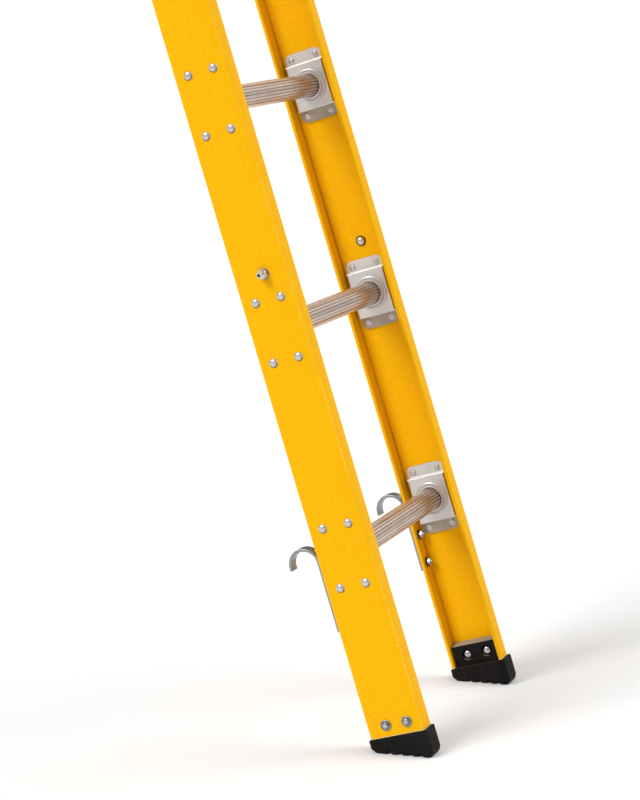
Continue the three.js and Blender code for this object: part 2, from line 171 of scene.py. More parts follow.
class Section:
    """One ladder section: its body, its width over the webs and its frame in the model."""

    def __init__(self, name):
        self.name = name
        self.body = f"{name}_section"
        first = sum(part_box(f"{name}_rung_1"), Vector()) / 2
        last = sum(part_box(f"{name}_rung_{RUNG_COUNT}"), Vector()) / 2
        pitch = (last - first) / (RUNG_COUNT - 1)
        self.lean = math.atan2(pitch.y, pitch.z)
        self.frame = Matrix.Translation(first - pitch) @ Matrix.Rotation(-self.lean, 4, "X")
        self.width = 2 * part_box(f"{name}_rail_R")[1].x / MM

    def left_hand(self, side, z=0):
        """Takes a left-hand piece, in mm, to its place on one side, in metres."""
        handed = Matrix.Diagonal((-1, 1, 1, 1)) if side == "R" else Matrix.Identity(4)
        scale = Matrix.Scale(MM, 4)
        return scale @ handed @ Matrix.Translation((-self.width / 2, 0, z))


LOWER = Section("lower")
FLY = Section("fly")
LEAN = LOWER.lean
FLY_FORWARD = (LOWER.frame.inverted() @ FLY.frame).translation.y / MM


# ---------------------------------------------------------------- mesh making

class Solid:
    """Vertices and faces gathered from simple swept forms."""

    def __init__(self):
        self.verts = []
        self.faces = []

    def add(self, verts, faces):
        start = len(self.verts)
        self.verts.extend(verts)
        self.faces.extend([start + i for i in face] for face in faces)

    def join(self, other):
        self.add(other.verts, other.faces)

    def sweep(self, rings, closed=False):
        """Skins a list of equal rings; an open sweep gets a cap at each end."""
        count = len(rings[0])
        faces = []
        spans = len(rings) if closed else len(rings) - 1
        for r in range(spans):
            a = r * count
            b = (r + 1) % len(rings) * count
            for i in range(count):
                j = (i + 1) % count
                faces.append((a + i, a + j, b + j, b + i))
        if not closed:
            faces.append(range(count - 1, -1, -1))
            faces.append(range((len(rings) - 1) * count, len(rings) * count))
        self.add([v for ring in rings for v in ring], faces)
        return self

    def prism(self, outline, place, start, end):
        """An outline of (u, v) points carried from one end to the other."""
        return self.sweep([[place(u, v, w) for u, v in outline] for w in (start, end)])

    def turned(self, profile, place, steps=32):
        """A profile of (radius, w) points turned about the w axis, from axis to axis."""
        rings = turned_rings(profile, place, steps)
        inner = len(profile)
        faces = []
        for k in range(steps):
            a = k * inner
            b = (k + 1) % steps * inner
            for i in range(inner - 1):
                faces.append((a + i, a + i + 1, b + i + 1, b + i))
        self.add([v for ring in rings for v in ring], faces)
        return self

    def ring(self, profile, place, steps=48):
        """A closed profile of (radius, w) points turned about the w axis."""
        return self.sweep(turned_rings(profile, place, steps), closed=True)


def turned_rings(profile, place, steps):
    """Copies of a profile of (radius, w) points, one for each step round the w axis."""
    rings = []
    for k in range(steps):
        angle = TAU * k / steps
        c, s = math.cos(angle), math.sin(angle)
        rings.append([place(r * c, r * s, w) for r, w in profile])
    return rings


# Each of these makes a function that takes a point (u, v) of an outline, w along the named axis,
# to x, y and z.

def along_x(y=0, z=0):
    return lambda u, v, w: (w, u + y, v + z)


def along_y(x=0, z=0):
    return lambda u, v, w: (v + x, w, u + z)


def along_z(x=0, y=0):
    return lambda u, v, w: (u + x, v + y, w)


def arc(cu, cv, radius, start, end, steps):
    """Points on an arc, angles in degrees, both ends included."""
    points = []
    for k in range(steps + 1):
        angle = math.radians(start + (end - start) * k / steps)
        points.append((cu + radius * math.cos(angle), cv + radius * math.sin(angle)))
    return points


def circle(radius, steps):
    return arc(0, 0, radius, 0, 360 * (steps - 1) / steps, steps - 1)


def rounded_box(u0, v0, u1, v1, radius, steps=5):
    r = radius
    points = arc(u1 - r, v0 + r, r, -90, 0, steps)
    points += arc(u1 - r, v1 - r, r, 0, 90, steps)
    points += arc(u0 + r, v1 - r, r, 90, 180, steps)
    points += arc(u0 + r, v0 + r, r, 180, 270, steps)
    return points


def filleted(points, radius, steps=4):
    """A closed outline with each corner rounded; a corner may give its own radius."""
    result = []
    count = len(points)
    for i, corner in enumerate(points):
        own = corner[2] if len(corner) > 2 else radius
        p = Vector(corner[:2])
        a = Vector(points[i - 1][:2]) - p
        b = Vector(points[(i + 1) % count][:2]) - p
        if own <= 0:
            result.append(tuple(p))
            continue
        half = a.angle(b) / 2
        reach = min(own / math.tan(half), 0.49 * a.length, 0.49 * b.length)
        start = p + a.normalized() * reach
        end = p + b.normalized() * reach
        centre_reach = reach * math.tan(half)
        centre = p + (a.normalized() + b.normalized()).normalized() * math.hypot(reach, centre_reach)
        first = math.atan2(start.y - centre.y, start.x - centre.x)
        turn = math.atan2(end.y - centre.y, end.x - centre.x) - first
        turn = (turn + math.pi) % TAU - math.pi
        for k in range(steps + 1):
            angle = first + turn * k / steps
            result.append((centre.x + centre_reach * math.cos(angle),
                           centre.y + centre_reach * math.sin(angle)))
    return result


def piece(name, solid, section, transform, material, nodes=(), bevel=0.0, sharp=35,
          accents=()):
    """Makes an object of a solid, stands it in its section and rides it on the section's body.

    An accent is another material and a test that says which faces, by their corners, take it.
    """
    mesh = bpy.data.meshes.new(name)
    placed = section.frame @ transform
    mesh.from_pydata([placed @ Vector(v) for v in solid.verts], [], solid.faces)
    mesh.materials.append(material)
    for index, (other, chosen) in enumerate(accents, 1):
        mesh.materials.append(other)
        for polygon, face in zip(mesh.polygons, solid.faces):
            if chosen([solid.verts[i] for i in face]):
                polygon.material_index = index
    work = bmesh.new()
    work.from_mesh(mesh)
    bmesh.ops.remove_doubles(work, verts=work.verts, dist=1e-6)
    bmesh.ops.recalc_face_normals(work, faces=work.faces)
    for face in work.faces:
        face.smooth = True
    work.to_mesh(mesh)
    work.free()
    mesh.set_sharp_from_angle(angle=math.radians(sharp))
    obj = bpy.data.objects.new(name, mesh)
    bpy.context.scene.collection.objects.link(obj)
    if bevel:
        edge = obj.modifiers.new("edge", "BEVEL")
        edge.width = bevel * MM
        edge.segments = 2
        edge.limit_method = "ANGLE"
        edge.angle_limit = math.radians(40)
        edge.harden_normals = False
    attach(obj, section.body)
    if nodes:
        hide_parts(*nodes)
    return obj


# ---------------------------------------------------------------- materials

def node(tree, kind, **values):
    made = tree.nodes.new(kind)
    for key, value in values.items():
        setattr(made, key, value)
    return made


class Look:
    """A procedural material under construction, on coordinates whose z runs along the rails."""

    def __init__(self, name, roughness, metallic=0.0, specular=0.5):
        self.material = bpy.data.materials.new(name)
        self.material.use_nodes = True
        self.tree = self.material.node_tree
        self.shader = self.tree.nodes["Principled BSDF"]
        self.shader.inputs["Roughness"].default_value = roughness
        self.shader.inputs["Metallic"].default_value = metallic
        self.shader.inputs["Specular IOR Level"].default_value = specular
        coordinates = node(self.tree, "ShaderNodeTexCoord")
        self.upright = node(self.tree, "ShaderNodeMapping")
        self.upright.inputs["Rotation"].default_value = (LEAN, 0, 0)
        self.link(coordinates.outputs["Object"], self.upright.inputs["Vector"])

    def link(self, source, target):
        self.tree.links.new(source, target)

    def noise(self, scale, stretch=(1, 1, 1), detail=3.0, roughness=0.5):
        """Noise of a given number of waves per metre, stretched along the axes."""
        mapping = node(self.tree, "ShaderNodeMapping")
        mapping.inputs["Scale"].default_value = stretch
        texture = node(self.tree, "ShaderNodeTexNoise")
        texture.inputs["Scale"].default_value = scale
        texture.inputs["Detail"].default_value = detail
        texture.inputs["Roughness"].default_value = roughness
        self.link(self.upright.outputs["Vector"], mapping.inputs["Vector"])
        self.link(mapping.outputs["Vector"], texture.inputs["Vector"])
        return texture.outputs["Fac"]

    def ranged(self, value, low, high, from_low=0.3, from_high=0.7):
        """Maps a 0..1 pattern to a range of values."""
        spread = node(self.tree, "ShaderNodeMapRange")
        spread.inputs["From Min"].default_value = from_low
        spread.inputs["From Max"].default_value = from_high
        spread.inputs["To Min"].default_value = low
        spread.inputs["To Max"].default_value = high
        self.link(value, spread.inputs["Value"])
        return spread.outputs["Result"]

    def mixed(self, value, first, second):
        """Mixes two colours, or sockets, by a pattern."""
        mix = node(self.tree, "ShaderNodeMix", data_type="RGBA")
        self.link(value, mix.inputs["Factor"])
        for socket, colour in ((mix.inputs[6], first), (mix.inputs[7], second)):
            if isinstance(colour, tuple):
                socket.default_value = (*colour, 1)
            else:
                self.link(colour, socket)
        return mix.outputs[2]

    def colour(self, socket):
        self.link(socket, self.shader.inputs["Base Color"])

    def rough(self, socket):
        self.link(socket, self.shader.inputs["Roughness"])

    def bump(self, *layers):
        """Stacks bump layers of (pattern, strength, height in mm)."""
        normal = None
        for pattern, strength, height in layers:
            bump = node(self.tree, "ShaderNodeBump")
            bump.inputs["Strength"].default_value = strength
            bump.inputs["Distance"].default_value = height * MM
            self.link(pattern, bump.inputs["Height"])
            if normal is not None:
                self.link(normal, bump.inputs["Normal"])
            normal = bump.outputs["Normal"]
        self.link(normal, self.shader.inputs["Normal"])

    def worn(self, pattern, colours, roughness, bump):
        """Takes colour, roughness and relief from one pattern, and gives the finished material."""
        self.colour(self.mixed(self.ranged(pattern, 0, 1), *colours))
        self.rough(self.ranged(pattern, *roughness))
        self.bump((pattern, *bump))
        return self.material


def fibreglass():
    """Pultruded fibreglass: yellow pigment, a fine mottled veil and long faint fibre streaks."""
    look = Look("fibreglass_yellow", 0.5, specular=0.05)
    mottle = look.noise(450, detail=4)
    streak = look.noise(420, stretch=(1, 1, 0.018), detail=3)
    broad = look.noise(9, detail=2)
    base = look.mixed(look.ranged(mottle, 0, 1), (0.855, 0.395, 0.001), (1.0, 0.565, 0.003))
    base = look.mixed(look.ranged(streak, 0, 0.45), base, (0.89, 0.43, 0.0015))
    base = look.mixed(look.ranged(broad, 0, 0.25), base, (0.95, 0.485, 0.003))
    look.colour(base)
    look.rough(look.ranged(mottle, 0.42, 0.55))
    look.bump((mottle, 0.35, 0.12), (streak, 0.5, 0.1))
    return look.material


def sawn_fibreglass():
    """The rails' sawn ends, where bare glass shows pale through the pigment."""
    look = Look("fibreglass_sawn", 0.75, specular=0.1)
    fibre = look.noise(900, detail=3)
    return look.worn(fibre, colours=((0.86, 0.56, 0.10), (0.95, 0.74, 0.30)),
                     roughness=(0.65, 0.85), bump=(0.5, 0.15))


def corner_highlight_fibreglass():
    """The rails' outer corners, painted pale in patches: a painted highlight along the rounded edge.
    """
    look = Look("fibreglass_rubbed", 0.45, specular=0.1)
    highlight_patches = look.noise(60, stretch=(1, 1, 0.25), detail=4)
    return look.worn(highlight_patches, colours=((0.93, 0.46, 0.004), (1.0, 0.62, 0.05)),
                     roughness=(0.36, 0.55), bump=(0.2, 0.08))


def fillet_shade_fibreglass():
    """The channels' inner corners, painted darker: painted shade in the fillets."""
    look = Look("fibreglass_grimy", 0.65, specular=0.05)
    blotches = look.noise(45, stretch=(1, 1, 0.2), detail=5)
    return look.worn(blotches, colours=((0.56, 0.25, 0.004), (0.85, 0.40, 0.003)),
                     roughness=(0.55, 0.75), bump=(0.3, 0.1))


def extruded_aluminium():
    """Mill-finish extrusion with faint die lines along the rung."""
    look = Look("aluminium_extruded", 0.17, metallic=1)
    lines = look.noise(600, stretch=(0.02, 1, 1), detail=2)
    cloud = look.noise(25, detail=3)
    base = look.mixed(look.ranged(cloud, 0, 1), (0.60, 0.49, 0.42), (0.70, 0.60, 0.53))
    look.colour(base)
    look.rough(look.ranged(lines, 0.13, 0.21))
    look.bump((lines, 0.05, 0.02))
    return look.material


def flute_shade_aluminium():
    """The floors of the flutes, darker and duller than the ridges: painted shade in the grooves."""
    look = Look("aluminium_flutes", 0.4, metallic=0.85)
    blotches = look.noise(90, stretch=(0.1, 1, 1), detail=4)
    return look.worn(blotches, colours=((0.25, 0.21, 0.19), (0.42, 0.36, 0.33)),
                     roughness=(0.32, 0.5), bump=(0.1, 0.05))


def stamped_aluminium():
    """Rolled and stamped sheet, satin, with small scuffs."""
    look = Look("aluminium_stamped", 0.38, metallic=0.5)
    grain = look.noise(700, stretch=(1, 1, 0.15), detail=3)
    cloud = look.noise(45, detail=4)
    scuff = look.noise(160, stretch=(1, 1, 0.4), detail=6, roughness=0.7)
    base = look.mixed(look.ranged(cloud, 0, 1), (0.62, 0.61, 0.60), (0.70, 0.69, 0.68))
    base = look.mixed(look.ranged(scuff, 0, 0.5, 0.62, 0.8), base, (0.46, 0.44, 0.42))
    look.colour(base)
    look.rough(look.ranged(grain, 0.32, 0.44))
    look.bump((grain, 0.3, 0.05), (cloud, 0.15, 0.25))
    return look.material


def tab_shade_aluminium():
    """The plates' lower tabs, darker and browner than the sheet: painted shade for the shadow the
    raised face casts on them.
    """
    look = Look("aluminium_dulled", 0.45, metallic=0.5)
    cloud = look.noise(45, detail=4)
    scuff = look.noise(160, stretch=(1, 1, 0.4), detail=6, roughness=0.7)
    base = look.mixed(look.ranged(cloud, 0, 1), (0.35, 0.29, 0.235), (0.43, 0.365, 0.305))
    base = look.mixed(look.ranged(scuff, 0, 0.5, 0.62, 0.8), base, (0.26, 0.21, 0.17))
    look.colour(base)
    look.rough(look.ranged(cloud, 0.38, 0.5))
    look.bump((scuff, 0.2, 0.05), (cloud, 0.15, 0.25))
    return look.material


def riveted_aluminium():
    """Formed rivet aluminium, brighter than the sheet."""
    look = Look("aluminium_rivet", 0.3, metallic=0.6)
    cloud = look.noise(260, detail=3)
    return look.worn(cloud, colours=((0.56, 0.55, 0.54), (0.62, 0.61, 0.60)),
                     roughness=(0.24, 0.3), bump=(0.03, 0.05))


def zinc_plate():
    """Bright zinc on flat bar, with a faint spangle and rolled grain."""
    look = Look("zinc_bright", 0.3, metallic=1)
    spangle = look.noise(220, detail=2)
    grain = look.noise(800, stretch=(1, 0.2, 0.05), detail=2)
    base = look.mixed(look.ranged(spangle, 0, 1), (0.21, 0.205, 0.18), (0.32, 0.32, 0.30))
    look.colour(base)
    look.rough(look.ranged(spangle, 0.24, 0.38))
    look.bump((grain, 0.3, 0.05))
    return look.material


def rivet_lower_shade():
    """Painted shade on the lower half of each rivet head's rim."""
    look = Look("aluminium_rivet_rim", 0.45, metallic=0.5)
    blotches = look.noise(300, detail=4)
    return look.worn(blotches, colours=((0.22, 0.19, 0.165), (0.36, 0.32, 0.285)),
                     roughness=(0.36, 0.55), bump=(0.1, 0.05))


def sheared_steel():
    """The hook bar's sheared edges, duller than its faces."""
    look = Look("steel_sheared", 0.35, metallic=0.7)
    grain = look.noise(900, stretch=(0.2, 1, 1), detail=3)
    return look.worn(grain, colours=((0.24, 0.25, 0.25), (0.38, 0.39, 0.40)),
                     roughness=(0.28, 0.45), bump=(0.3, 0.05))


def bolt_steel():
    """Zinc-plated fastener steel with slight tarnish."""
    look = Look("steel_fastener", 0.28, metallic=1)
    tarnish = look.noise(300, detail=4)
    return look.worn(tarnish, colours=((0.40, 0.41, 0.42), (0.56, 0.58, 0.60)),
                     roughness=(0.2, 0.36), bump=(0.2, 0.06))


def dull_steel():
    """Plain zinc washer, dulled to a blue grey."""
    look = Look("steel_dull", 0.4, metallic=0.9)
    mark = look.noise(280, detail=4)
    return look.worn(mark, colours=((0.21, 0.23, 0.24), (0.36, 0.38, 0.39)),
                     roughness=(0.34, 0.5), bump=(0.2, 0.06))


def passivated_steel():
    """Yellow-passivated steel, for the long stop bolt."""
    look = Look("steel_passivated", 0.3, metallic=1)
    tint = look.noise(250, detail=3)
    return look.worn(tint, colours=((0.62, 0.61, 0.51), (0.82, 0.82, 0.75)),
                     roughness=(0.24, 0.4), bump=(0.2, 0.05))


def blackened_steel_and_socket_shade():
    """Blackened washer; also the black hexagon in the stop bolt's end, painted shade for the depth
    of its hex socket.
    """
    look = Look("steel_dark", 0.5, metallic=0.6)
    mark = look.noise(350, detail=3)
    return look.worn(mark, colours=((0.03, 0.03, 0.028), (0.075, 0.07, 0.06)),
                     roughness=(0.42, 0.6), bump=(0.2, 0.08))


def rubber(name, dust_colour):
    """Moulded black rubber with a matt skin, and dust lying on what faces up."""
    look = Look(name, 0.7, specular=0.16)
    pores = look.noise(900, detail=4)
    smear = look.noise(60, detail=5)
    geometry = node(look.tree, "ShaderNodeNewGeometry")
    split = node(look.tree, "ShaderNodeSeparateXYZ")
    look.link(geometry.outputs["Normal"], split.inputs["Vector"])
    dust = look.ranged(split.outputs["Z"], 0, 0.85, 0.6, 0.9)
    base = look.mixed(look.ranged(smear, 0, 1), (0.004, 0.0032, 0.0028), (0.009, 0.0075, 0.0065))
    look.colour(look.mixed(dust, base, dust_colour))
    look.rough(look.ranged(pores, 0.6, 0.8))
    look.bump((pores, 0.35, 0.15), (smear, 0.2, 0.3))
    return look.material


def moulded_plastic():
    """Black moulded nylon with a fine spark texture."""
    look = Look("plastic_black", 0.48)
    spark = look.noise(1100, detail=3)
    tone = look.noise(50, detail=3)
    base = look.mixed(look.ranged(tone, 0, 1), (0.010, 0.010, 0.011), (0.021, 0.021, 0.022))
    look.colour(base)
    look.rough(look.ranged(spark, 0.4, 0.58))
    look.bump((spark, 0.35, 0.1))
    return look.material


FRP = fibreglass()
SAWN = sawn_fibreglass()
CORNER_HIGHLIGHT = corner_highlight_fibreglass()
FILLET_SHADE = fillet_shade_fibreglass()
EXTRUDED = extruded_aluminium()
FLUTE_SHADE = flute_shade_aluminium()
STAMPED = stamped_aluminium()
TAB_SHADE = tab_shade_aluminium()
RIVET = riveted_aluminium()
RIVET_SHADE = rivet_lower_shade()
ZINC = zinc_plate()
SHEARED = sheared_steel()
STEEL = bolt_steel()
DULL = dull_steel()
PASSIVATED = passivated_steel()
BLACKENED_AND_SOCKET_SHADE = blackened_steel_and_socket_shade()
BOOT_RUBBER = rubber("rubber_boot", (0.035, 0.028, 0.022))
PAD_RUBBER = rubber("rubber_pad", (0.41, 0.37, 0.26))
PLASTIC = moulded_plastic()


# ---------------------------------------------------------------- rails

def rail_outline():
    """C channel with rounded outer corners, inner fillets and softened flange tips."""
    half = RAIL_HALF
    inner = RAIL_INNER
    return filleted([
        (RAIL_FLANGE, -half),
        (RAIL_FLANGE, -inner),
        (RAIL_WALL, -inner, RAIL_FILLET),
        (RAIL_WALL, inner, RAIL_FILLET),
        (RAIL_FLANGE, inner),
        (RAIL_FLANGE, half),
        (0, half, RAIL_CORNER),
        (0, -half, RAIL_CORNER),
    ], 1.0, 6)


def face_middle(corners):
    """Where a face of a rail lies in the rail's section."""
    x = sum(corner[0] for corner in corners) / len(corners)
    y = sum(corner[1] for corner in corners) / len(corners)
    return x, abs(y)


def on_outer_corner(corners):
    """The middle of the rounded corner, which takes the painted highlight."""
    x, y = face_middle(corners)
    return x < RAIL_CORNER / 2 and y > RAIL_HALF - RAIL_CORNER / 2


# The inner fillets, which take painted shade.
def on_inner_fillet(corners):
    x, y = face_middle(corners)
    return RAIL_WALL < x < RAIL_WALL + RAIL_FILLET and RAIL_INNER - RAIL_FILLET < y < RAIL_INNER


def at_sawn_end(corners):
    heights = [corner[2] for corner in corners]
    return max(heights) <= RAIL_BOTTOM + SAWN_BAND or min(heights) >= RAIL_TOP - SAWN_BAND


# The outer corners take a painted highlight and the inner fillets painted shade; the sawn ends are
# paler glass.
RAIL_ACCENTS = [(CORNER_HIGHLIGHT, on_outer_corner), (FILLET_SHADE, on_inner_fillet), (SAWN, at_sawn_end)]


def make_rails(section):
    """Both rails, each with a narrow pale band where the saw has chipped its ends."""
    levels = (RAIL_BOTTOM, RAIL_BOTTOM + SAWN_BAND, RAIL_TOP - SAWN_BAND, RAIL_TOP)
    outline = rail_outline()
    for side in SIDES:
        solid = Solid().sweep([[(x, y, z) for x, y in outline] for z in levels])
        piece(f"{section.name}_rail_{side}_channel", solid, section, section.left_hand(side),
              FRP, [f"{section.name}_rail_{side}"], accents=RAIL_ACCENTS)


# ---------------------------------------------------------------- rungs and their plates

def fluted_circle():
    """Crowned ridges parted by round-bottomed flutes, as (radius, angle) points."""
    half = [(0, 0), (0.12, 0.02), (0.2, 0.1), (0.27, 0.32), (0.34, 0.68), (0.42, 0.93)]
    profile = half + [(0.5, 1)] + [(1 - t, depth) for t, depth in half[:0:-1]]
    points = []
    for k in range(RUNG_FLUTES):
        for t, depth in profile:
            angle = TAU * (k + t) / RUNG_FLUTES
            points.append((RUNG_RADIUS - depth * RUNG_FLUTE_DEPTH, angle))
    return points


def rung_solid(section):
    half = section.width / 2 - RUNG_END
    outer = [(r * math.cos(a), r * math.sin(a)) for r, a in fluted_circle()]
    inner = [(RUNG_BORE * math.cos(a), RUNG_BORE * math.sin(a)) for _, a in fluted_circle()]
    place = along_x()
    rings = [
        [place(u, v, -half) for u, v in inner],
        [place(u, v, -half) for u, v in outer],
        [place(u, v, half) for u, v in outer],
        [place(u, v, half) for u, v in inner],
    ]
    return Solid().sweep(rings, closed=True)


def in_flute(corners):
    radii = [math.hypot(y, z) for _, y, z in corners]
    return RUNG_BORE + 0.5 < min(radii) and max(radii) < RUNG_RADIUS - 0.5 * RUNG_FLUTE_DEPTH


def plate_sheet():
    """Middle of the hat section as an open sheet: raised face with its hole, steps and tabs."""
    across = 14
    up = 16
    start = PLATE_RAISED_HALF - PLATE_BEND
    rim = []
    for i in range(across):
        rim.append(((-1 + 2 * i / across) * PLATE_FACE_HALF, start))
    for i in range(up):
        rim.append((PLATE_FACE_HALF, (1 - 2 * i / up) * start))
    for i in range(across):
        rim.append(((1 - 2 * i / across) * PLATE_FACE_HALF, -start))
    for i in range(up):
        rim.append((-PLATE_FACE_HALF, (-1 + 2 * i / up) * start))
    sheet = Solid()
    verts = []
    for blend in (0, 0.35, 1):
        for y, z in rim:
            length = math.hypot(y, z)
            radius = PLATE_HOLE + (length - PLATE_HOLE) * blend
            verts.append((PLATE_FACE, y / length * radius, z / length * radius))
    count = len(rim)
    faces = []
    for r in (0, 1):
        for i in range(count):
            j = (i + 1) % count
            faces.append((r * count + i, r * count + j, (r + 1) * count + j, (r + 1) * count + i))
    sheet.add(verts, faces)
    # Rows of points down the step and out over the tab to its rounded end.
    rows = [(PLATE_FACE, start, PLATE_FACE_HALF), (PLATE_FACE, start + PLATE_NOTCH, PLATE_TAB_HALF)]
    for x, z in arc(PLATE_FACE - PLATE_BEND, start, PLATE_BEND, 0, 90, 4)[1:]:
        rows.append((x, z + PLATE_NOTCH, PLATE_TAB_HALF))
    foot = TAB_FACE + PLATE_FOOT
    for x, z in arc(foot, PLATE_RAISED_HALF + PLATE_FOOT + PLATE_NOTCH, PLATE_FOOT, -90, -180, 3):
        rows.append((x, z, PLATE_TAB_HALF))
    end = PLATE_HALF_HEIGHT - PLATE_CORNER
    for y, z in arc(0, end, PLATE_CORNER, 0, 90, 7):
        rows.append((TAB_FACE, z, PLATE_TAB_HALF - PLATE_CORNER + y))
    for sign in (1, -1):
        verts = []
        for x, z, half in rows:
            verts.extend((x, (-1 + 2 * i / across) * half, sign * z) for i in range(across + 1))
        quads = []
        for r in range(len(rows) - 1):
            for i in range(across):
                a = r * (across + 1) + i
                quads.append((a, a + 1, a + across + 2, a + across + 1))
        sheet.add(verts, quads)
    return sheet


def plate_solid():
    """The sheet given its thickness, towards the web."""
    sheet = plate_sheet()
    work = bmesh.new()
    verts = [work.verts.new(v) for v in sheet.verts]
    for face in sheet.faces:
        work.faces.new([verts[i] for i in face])
    bmesh.ops.remove_doubles(work, verts=work.verts, dist=1e-3)
    bmesh.ops.recalc_face_normals(work, faces=work.faces)
    if sum(face.normal.x * face.calc_area() for face in work.faces) < 0:
        bmesh.ops.reverse_faces(work, faces=work.faces)
    bmesh.ops.solidify(work, geom=work.faces, thickness=SHEET)
    work.verts.index_update()
    # Solidify leaves its faces in an order that changes from run to run, so they are sorted.
    faces = sorted([v.index for v in face.verts] for face in work.faces)
    solid = Solid()
    solid.add([tuple(v.co) for v in work.verts], faces)
    work.free()
    return solid


def on_lower_tab(corners):
    return max(corner[2] for corner in corners) < -PLATE_RAISED_HALF


def ring_solid():
    """Rolled collar: an outer bead, a groove and an inner lip against the rung."""
    # How far in from the rim, and how far above the plate's face, each point of the roll lies.
    roll = [(0, -0.6), (0, 1.2), (0.5, 2.3), (1.4, 2.8), (2.3, 2.4), (2.9, 1.4), (3.6, 1.2),
            (4.1, 2.6), (4.7, 4.6), (5.6, 5.4), (6.6, 5.4)]
    profile = [(RING_RADIUS - inset, PLATE_FACE + rise) for inset, rise in roll]
    against_rung = RUNG_RADIUS - RING_BITE
    profile += [(against_rung, PLATE_FACE + 4.6), (against_rung, PLATE_FACE - 0.6)]
    return Solid().ring(profile, along_x(), 64)


def rivet_head_solid(y, z):
    """Domed factory head on the outside of the web, with its small centre dimple."""
    r = RIVET_HEAD
    profile = [(0, -2.0), (0.6, -2.05), (1.1, -2.6), (1.7, -2.8), (3.0, -2.55), (4.2, -2.0),
               (5.2, -1.3), (5.9, -0.5), (r, 0.1), (2.4, 0.1), (2.4, 4), (0, 4)]
    return Solid().turned(profile, along_x(y, z), 28)


def on_rivet_rim(corners):
    """The lower part of a head's rim, which takes the painted shade."""
    offsets = [(abs(y) - RIVET_Y, z - math.copysign(RIVET_Z, z)) for _, y, z in corners]
    reach = min(math.hypot(*offset) for offset in offsets)
    return reach > RIVET_HEAD - RIVET_RIM_WIDTH and max(up for _, up in offsets) < RIVET_RIM_TOP


def rivet_tail_solid(y, z):
    """Tail set on the plate's tab: a dished button in a shallow dimple ring."""
    face = TAB_FACE
    profile = [(0, face - 1.5), (2.1, face - 1.5), (2.1, face - 0.1), (4.9, face - 0.1),
               (4.9, face + 0.15), (4.3, face + 0.35), (3.6, face + 0.4), (3.5, face + 1.0),
               (3.0, face + 1.55), (2.2, face + 1.8), (1.6, face + 1.65), (1.2, face + 0.9),
               (0, face + 0.8)]
    return Solid().turned(profile, along_x(y, z), 28)


def make_rung(section, k):
    node_name = f"{section.name}_rung_{k}"
    lift = Matrix.Scale(MM, 4) @ Matrix.Translation((0, 0, k * PITCH))
    # The flute floors take painted shade, darker than the ridges.
    piece(f"{node_name}_tube", rung_solid(section), section, lift, EXTRUDED,
          [node_name], sharp=60, accents=[(FLUTE_SHADE, in_flute)])
    for side in SIDES:
        place = section.left_hand(side, k * PITCH)
        name = f"{section.name}_plate_{side}_{k}"
        nodes = [name] if section is LOWER else []
        # The lower tabs take painted shade, a darker sheet where the raised face's shadow falls.
        piece(f"{name}_stamping", plate_solid(), section, place, STAMPED,
              nodes, bevel=0.45, accents=[(TAB_SHADE, on_lower_tab)])
        piece(f"{name}_collar", ring_solid(), section, place, STAMPED)
        heads = Solid()
        tails = Solid()
        for y in (-RIVET_Y, RIVET_Y):
            for z in (-RIVET_Z, RIVET_Z):
                heads.join(rivet_head_solid(y, z))
                tails.join(rivet_tail_solid(y, z))
        # The heads are darker round the lower half of their rims: painted shade.
        piece(f"{name}_rivet_heads", heads, section, place, RIVET,
              accents=[(RIVET_SHADE, on_rivet_rim)])
        piece(f"{name}_rivet_tails", tails, section, place, RIVET)


# ---------------------------------------------------------------- fasteners

def nut_solid(place, start, end, flats, bore):
    """Hexagon nut with its corners chamfered at both faces."""
    corner = flats / math.sqrt(3)
    steps = 48
    chamfer = math.copysign(0.9, end - start)
    rings = []
    for w, limit in ((start, flats / 2), (start + chamfer, corner), (end - chamfer, corner),
                     (end, flats / 2)):
        ring = []
        for k in range(steps):
            angle = TAU * k / steps
            sector = (angle + math.pi / 6) % (math.pi / 3) - math.pi / 6
            side = flats / 2 / math.cos(sector)
            radius = min(side, limit)
            ring.append(place(radius * math.cos(angle), radius * math.sin(angle), w))
        rings.append(ring)
    for w in (end, start):
        rings.append([place(bore * math.cos(TAU * k / steps), bore * math.sin(TAU * k / steps), w)
                      for k in range(steps)])
    return Solid().sweep(rings, closed=True)


def washer_solid(place, start, end, radius, bore):
    low, high = sorted((start, end))
    burr_in, burr_up = 0.4, 0.3
    profile = [(bore, low), (radius - burr_in, low), (radius, low + burr_up),
               (radius, high - burr_up), (radius - burr_in, high), (bore, high)]
    return Solid().ring(profile, place, 40)


def thread_profile(radius, start, end):
    """Points of a threaded stretch from start to end."""
    points = []
    count = max(1, round(abs(end - start) / THREAD_PITCH))
    step = (end - start) / count
    for k in range(count):
        points.append((radius, start + step * k))
        points.append((radius - THREAD_DEPTH, start + step * (k + 0.5)))
    points.append((radius, end))
    return points


def make_foot_bolts(section, side):
    place_at = section.left_hand(side)
    for end_name, y in zip(("front", "rear"), FOOT_BOLT_Y):
        base = f"{section.name}_foot_bolt_{side}_{end_name}"
        nodes = [base] if section is LOWER else []
        axis = along_x(y, FOOT_BOLT_Z)
        head = PAD_FACE - PAD_RECESS_DEPTH + GAP
        screw = Solid().turned(
            [(0, -4.6), (1.6, -4.6), (1.8, -4.2), (2.9, -4.2)]
            + thread_profile(3.1, -3.8, -1.4)
            + [(3.1, head), (5.6, head), (5.7, head + 0.6), (5.3, head + 1.6), (4.4, head + 2.5),
               (3.1, head + 3.2), (1.6, head + 3.6), (0, head + 3.7)],
            axis, 36)
        piece(f"{base}_screw", screw, section, place_at, STEEL, nodes)
        piece(f"{base}_washer", washer_solid(axis, -GAP, -1.5, radius=7.2, bore=3.3),
              section, place_at, DULL)
        piece(f"{base}_nut", dome_nut_solid(axis, -1.5), section, place_at, ZINC)


def dome_nut_solid(axis, start):
    """Low round nut, crowned, around the bolt's end."""
    profile = [(3.0, start), (4.9, start), (5.0, start - 0.7), (4.6, start - 1.7),
               (3.9, start - 2.3), (3.3, start - 2.5), (3.0, start - 2.3)]
    return Solid().ring(profile, axis, 40)


